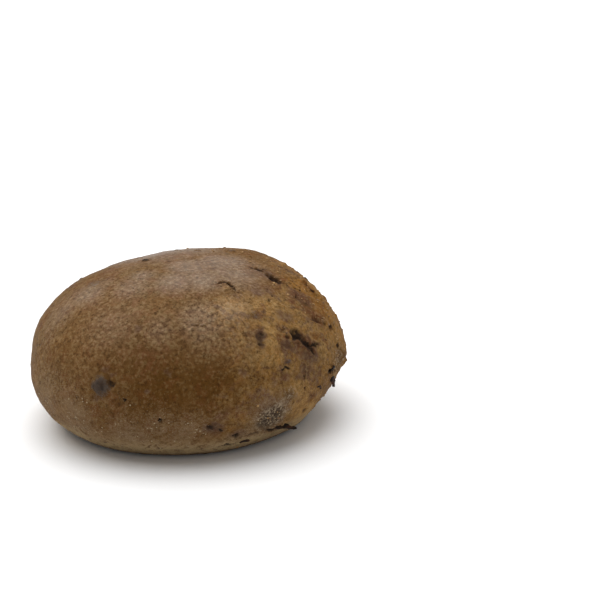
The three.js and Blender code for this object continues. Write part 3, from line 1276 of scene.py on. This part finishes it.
@dataclass
class Shreds(Bits):
    """Curved strips of onion, half sunk in the crust, in units of a strip's size."""

    arc: float = 1.4  # radians that a strip bends through
    thick: float = 0.17
    shift: tuple[float, float, float] = (-0.85, 0.0, -0.02)  # brings the arc's middle over its point

    def shape(self, tree: Tree) -> NodeSocket:
        """Adds a strip swept along an arc.

        Args:
            tree: the tree that the strip is added to.

        Returns:
            The strip.
        """
        bow = {"Resolution": 9, "Radius": 1.0, "Start Angle": -0.5 * self.arc, "Sweep Angle": self.arc}
        line = tree.node("GeometryNodeCurveArc", bow, mode="RADIUS")
        middle = tree.node("GeometryNodeSetPosition", {"Geometry": line.outputs[0], "Offset": self.shift})
        circle = {"Resolution": 7, "Radius": self.thick}
        rim = tree.node("GeometryNodeCurvePrimitiveCircle", circle, mode="RADIUS")
        swept = {"Curve": middle.outputs[0], "Profile Curve": rim.outputs[0], "Fill Caps": True}
        return tree.node("GeometryNodeCurveToMesh", swept).outputs[0]

    def crumple_mm(self) -> tuple[float, float]:
        """How far and how closely the strips are crumpled."""
        return 1.1, 2.6


@dataclass(frozen=True)
class Flake:
    """One scorched leaf of onion that stands out of the crust. Sizes are in millimetres."""

    azimuth: float
    lift: float
    length: float
    width: float
    turn: float
    tilt: float  # degrees that its free end is lifted off the crust
    curl: float  # how far its middle bows up


FLAKES = [
    Flake(-71.0, -16.6, 13, 5, -12, 15, 0.9),
    Flake(-77.0, -16.2, 10, 4, -4, 10, 0.6),
    Flake(-45.5, -3.6, 8, 6, -78, 24, 1.0),
    Flake(-48.0, 2.2, 8, 4, -15, 20, 0.7),
    Flake(-92.0, -19.5, 7, 2.6, 5, 8, 0.5),
    Flake(8.0, 22.0, 9, 5, 30, 14, 1.0),
    Flake(62.0, 34.0, 8, 5, -40, 12, 1.0),
    Flake(118.0, 12.0, 10, 5, 15, 10, 1.0),
    Flake(20.0, -12.0, 9, 5, -10, 14, 0.8),
]


@dataclass
class OnionFlakes:
    """The flakes of scorched onion, as one piece."""

    rows: int = 10
    columns: int = 6
    thickness_mm: float = 0.5
    sunk_mm: float = 0.6
    ragged_mm: float = 0.8
    rag_size_mm: float = 2.4
    least_half_mm: float = 0.15  # half the width that is left at a flake's ends
    behind: float = 0.35  # the share of a flake's length that lies behind its place

    def build(self, crust: Crust, ground: BVHTree, material: Material) -> Object:
        """Makes every flake.

        Args:
            crust: the crust, for its core.
            ground: its finished surface.
            material: the scorched onion.

        Returns:
            One object with all the flakes.
        """
        bm = bmesh.new()
        for flake in FLAKES:
            ray = Vector(direction(flake.azimuth, flake.lift))
            found, normal = ground.ray_cast(Vector(crust.core), ray)[:2]
            outward = normal if normal.dot(ray) > 0 else -normal
            self._add(bm, flake, np.array(found), np.array(outward))
        bmesh.ops.recalc_face_normals(bm, faces=bm.faces[:])
        mesh = new_mesh("onion_flakes", bm)
        shade_smooth(mesh)
        mesh.materials.append(material)
        return new_object("onion_flakes", mesh)

    def _add(self, bm: bmesh.types.BMesh, flake: Flake, place: np.ndarray, normal: np.ndarray) -> None:
        """Adds one flake as a thin closed leaf.

        Args:
            bm: the bmesh to add to.
            flake: the flake.
            place: where it meets the crust.
            normal: the crust's normal there.
        """
        along, across = tangents(normal, flake.turn)
        lean = math.radians(flake.tilt)
        forward = math.cos(lean) * along + math.sin(lean) * normal
        upward = math.cos(lean) * normal - math.sin(lean) * along
        base = place - normal * self.sunk_mm * MM - along * self.behind * flake.length * MM
        grid = [[None] * self.columns for _ in range(self.rows)]
        for i in range(self.rows):
            s = i / (self.rows - 1)
            rounded = (1.0 - (2.0 * s - 1.0) ** 4) ** 0.5 * (1.15 - 0.8 * s)
            half = 0.5 * flake.width * rounded + self.least_half_mm
            for j in range(self.columns):
                t = 2.0 * j / (self.columns - 1) - 1.0
                bow = flake.curl * (math.sin(math.pi * s) - 0.6 * t * t)
                spot = base + forward * s * flake.length * MM
                spot = spot + across * t * half * MM + upward * bow * MM
                shake = noise.noise_vector(Vector(spot / (self.rag_size_mm * MM)))
                spot = spot + np.array(shake) * self.ragged_mm * MM
                grid[i][j] = np.maximum(spot, [-1.0, -1.0, self.thickness_mm * MM])
        self._close(bm, grid, upward)

    def _close(self, bm: bmesh.types.BMesh, grid: list[list[np.ndarray]], upward: np.ndarray) -> None:
        """Gives a grid of places its thickness and closes it round the edge.

        Args:
            bm: the bmesh to add to.
            grid: the places, by row and column.
            upward: the way the thickness goes.
        """
        thick = upward * self.thickness_mm * MM
        top = [[bm.verts.new(p + 0.5 * thick) for p in row] for row in grid]
        low = [[bm.verts.new(p - 0.5 * thick) for p in row] for row in grid]
        rows, columns = self.rows, self.columns
        for i in range(rows - 1):
            for j in range(columns - 1):
                bm.faces.new((top[i][j], top[i + 1][j], top[i + 1][j + 1], top[i][j + 1]))
                bm.faces.new((low[i][j], low[i][j + 1], low[i + 1][j + 1], low[i + 1][j]))
        rim = [(i, 0) for i in range(rows)]
        rim += [(rows - 1, j) for j in range(1, columns)]
        rim += [(i, columns - 1) for i in range(rows - 2, -1, -1)]
        rim += [(0, j) for j in range(columns - 2, 0, -1)]
        for (a, b), (c, d) in zip(rim, rim[1:] + rim[:1]):
            bm.faces.new((top[a][b], low[a][b], low[c][d], top[c][d]))


@dataclass
class Onion:
    """All the onion that stands out of the crust."""

    finish: OnionFinish = OnionFinish()
    shreds: Shreds = field(
        default_factory=lambda: Shreds(
            "onion_shreds", "torn", density=1800.0, smallest_mm=2.4, largest_mm=5.0, flatness=0.7, seed=12
        )
    )

    def build(self, crust: Crust, ground: Mesh) -> list[Object]:
        """Makes the shreds and the flakes.

        Args:
            crust: the crust.
            ground: its mesh.

        Returns:
            Their objects.
        """
        material = self.finish.material()
        faces = [tuple(p.vertices) for p in ground.polygons]
        tree = BVHTree.FromPolygons([v.co for v in ground.vertices], faces)
        return [self.shreds.build(ground, material), OnionFlakes().build(crust, tree, material)]


@dataclass
class Dusting:
    """The flour low on the crust and the crumbs on its soft side."""

    flour: FlourFinish = FlourFinish()
    crumb: CrumbFinish = CrumbFinish()

    def build(self, ground: Mesh) -> list[Object]:
        """Makes the flour specks and the crumbs on the crust's mesh.

        Args:
            ground: the crust's mesh.

        Returns:
            The specks and the crumbs, one object each.
        """
        dust = {"density": 230000.0, "smallest_mm": 0.16, "largest_mm": 0.66, "flatness": 0.4}
        torn = {"density": 36000.0, "smallest_mm": 0.35, "largest_mm": 1.0, "flatness": 0.6}
        specks = Grains("flour_specks", "dust", seed=5, **dust)
        crumbs = Grains("crust_crumbs", "torn", seed=8, faces=2, **torn)
        return [specks.build(ground, self.flour.material()), crumbs.build(ground, self.crumb.material())]


# The stage.


@dataclass
class Studio:
    """A white table under a broad soft light, and the camera."""

    azimuth: float = -30.0  # of the view, in degrees
    pitch: float = 18.0  # how far the camera looks down
    distance_mm: float = 1037.5  # from the camera to the base's middle, along the view
    right_mm: float = 72.4  # the camera's shift to the right of the base's middle
    up_mm: float = 72.2  # and above it, both across the view
    lens: float = 96.4
    sensor: float = 36.0
    floor_m: float = 8.0
    room: float = 0.45  # brightness of the room on the camera's side
    backdrop: float = 1.0  # and of the white sweep behind the loaf
    sweep_from: tuple[float, float, float] = (0.0, 1.0, 0.35)  # right, away and up, from the camera
    key_angle: float = 70.0
    key_strength: float = 3.0
    key_from: tuple[float, float, float] = (-0.2, 0.2, 1.0)
    table: TableFinish = TableFinish()

    def build(self) -> None:
        """Makes the floor, the lights and the camera."""
        self._floor()
        self._sky()
        self._key()
        self._camera()
        bpy.context.scene.view_settings.view_transform = "Standard"

    def _level(self) -> tuple[Vector, Vector]:
        """The level directions to the camera's right and away from it."""
        a = math.radians(self.azimuth)
        return Vector((math.cos(a), math.sin(a), 0.0)), Vector((-math.sin(a), math.cos(a), 0.0))

    def _toward(self, parts: tuple[float, float, float]) -> Vector:
        """A direction from its shares to the right, away and up, as the camera sees them."""
        right, away = self._level()
        return (right * parts[0] + away * parts[1] + Vector((0, 0, parts[2]))).normalized()

    def _floor(self) -> None:
        """A large flat floor at the loaf's base."""
        bm = bmesh.new()
        bmesh.ops.create_grid(bm, x_segments=1, y_segments=1, size=self.floor_m)
        mesh = new_mesh("table_top", bm)
        mesh.materials.append(self.table.material())
        new_object("table_top", mesh)

    def _sky(self) -> None:
        """A white sweep behind the loaf and a dim room before it, all white where the camera looks."""
        world = bpy.data.worlds.new("studio")
        world.use_nodes = True
        bpy.context.scene.world = world
        world.node_tree.nodes.clear()
        sky = Nodes(world.node_tree)
        place = sky.node("ShaderNodeTexCoord").outputs["Generated"]
        sweep = {0: place, 1: self._toward(self.sweep_from)}
        facing = sky.node("ShaderNodeVectorMath", sweep, operation="DOT_PRODUCT").outputs["Value"]
        seen = sky.node("ShaderNodeLightPath").outputs["Is Camera Ray"]
        level = sky.ramp(facing, 0.0, 0.8, self.room, self.backdrop).most(seen)
        light = sky.node("ShaderNodeBackground", {"Strength": level})
        sky.node("ShaderNodeOutputWorld", {"Surface": light.outputs[0]})

    def _key(self) -> None:
        """One very broad light from above, a little behind and to the left."""
        source = self._toward(self.key_from)
        data = bpy.data.lights.new("softbox", "SUN")
        data.energy = self.key_strength
        data.angle = math.radians(self.key_angle)
        lamp = bpy.data.objects.new("softbox", data)
        lamp.rotation_euler = source.to_track_quat("Z", "Y").to_euler()
        lamp.location = source
        bpy.context.scene.collection.objects.link(lamp)

    def _camera(self) -> None:
        """The camera, looking down at the loaf from its near side."""
        right, away = self._level()
        pitch = math.radians(self.pitch)
        forward = away * math.cos(pitch) - Vector((0.0, 0.0, math.sin(pitch)))
        up = right.cross(forward)
        data = bpy.data.cameras.new("camera")
        data.lens = self.lens
        data.sensor_width = self.sensor
        camera = bpy.data.objects.new("camera", data)
        camera.location = (-self.distance_mm * forward + self.right_mm * right + self.up_mm * up) * MM
        camera.rotation_euler = forward.to_track_quat("-Z", "Y").to_euler()
        bpy.context.scene.collection.objects.link(camera)
        bpy.context.scene.camera = camera


# The loaf.


def report(piece: Object) -> None:
    """Logs a piece's name and its number of triangles."""
    piece.data.calc_loop_triangles()
    LOG.info("%s: %d triangles", piece.name, len(piece.data.loop_triangles))


def main() -> None:
    """Builds the crust, then what lies in and on it, then the stage."""
    noise.seed_set(NOISE_SEED)
    logging.basicConfig(level=logging.INFO, format="%(name)s: %(message)s")
    crust = Crust()
    skin = crust.build()
    pieces = [skin, *Onion().build(crust, skin.data), *Dusting().build(skin.data)]
    for piece in pieces:
        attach(piece, BODY)
        report(piece)
    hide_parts(NODE)
    Studio().build()


if __name__ == "__main__":
    main()
